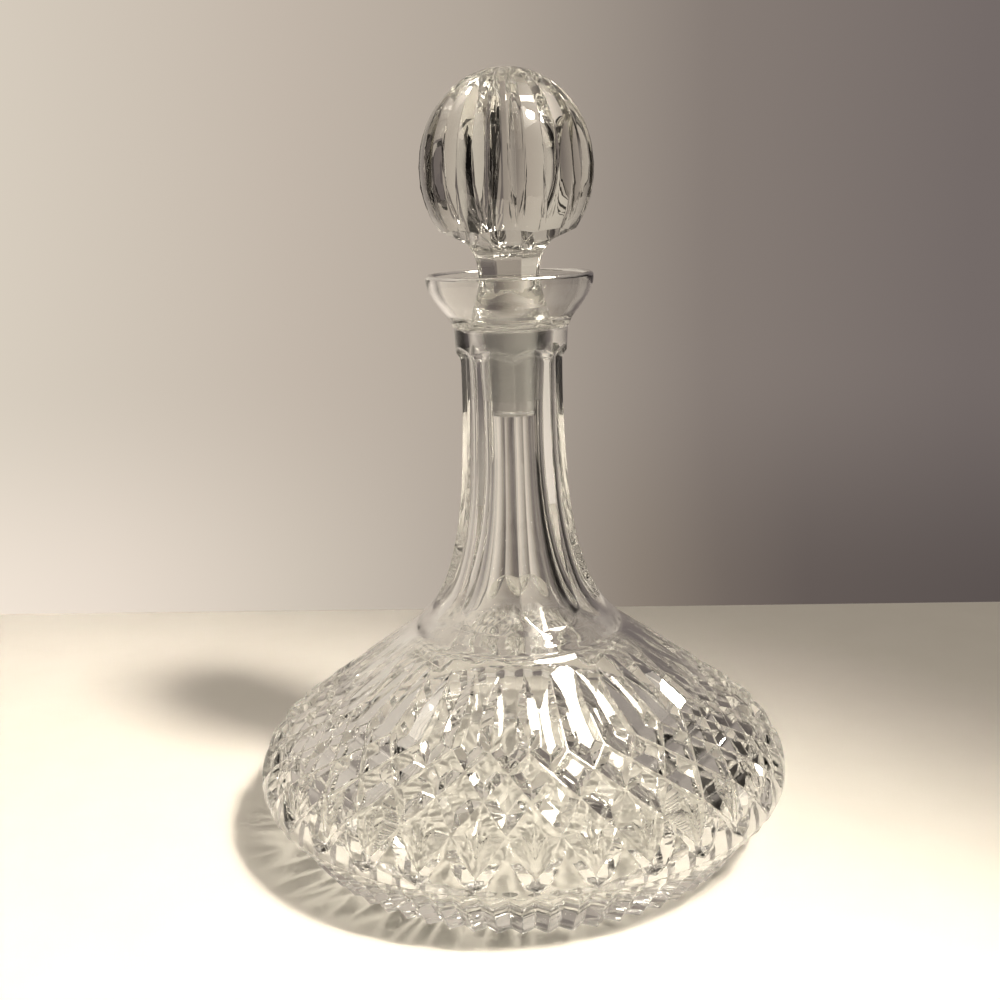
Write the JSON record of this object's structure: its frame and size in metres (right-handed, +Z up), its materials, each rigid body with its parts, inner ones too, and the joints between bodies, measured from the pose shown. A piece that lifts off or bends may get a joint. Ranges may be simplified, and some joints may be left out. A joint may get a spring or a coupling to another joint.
{
  "type": "ships decanter",
  "caption": "Cut-glass ships decanter with a wide low bowl, a long fluted neck with a flared rim, and a lift-out cut ball stopper.",
  "frame": {"origin": "centre of the flat underside of the base, on the turning axis", "axes": "+Z up along the turning axis of the bowl, neck and stopper; -Y faces the camera of the picture"},
  "size_m": [0.178, 0.178, 0.2484],
  "materials": {
    "decanter_glass": "blown and wheel-cut lead crystal, acid polished",
    "stopper_glass": "solid wheel-cut lead crystal, polished, with a ground peg"
  },
  "bodies": {
    "decanter": {"decanter": "decanter_glass"},
    "stopper": {"stopper": "stopper_glass"}
  },
  "joints": [
    {"name": "stopper_lift", "type": "slide", "parent": "decanter", "child": "stopper", "axis": [0, 0, 1], "range_m": [0, 0.09]}
  ]
}
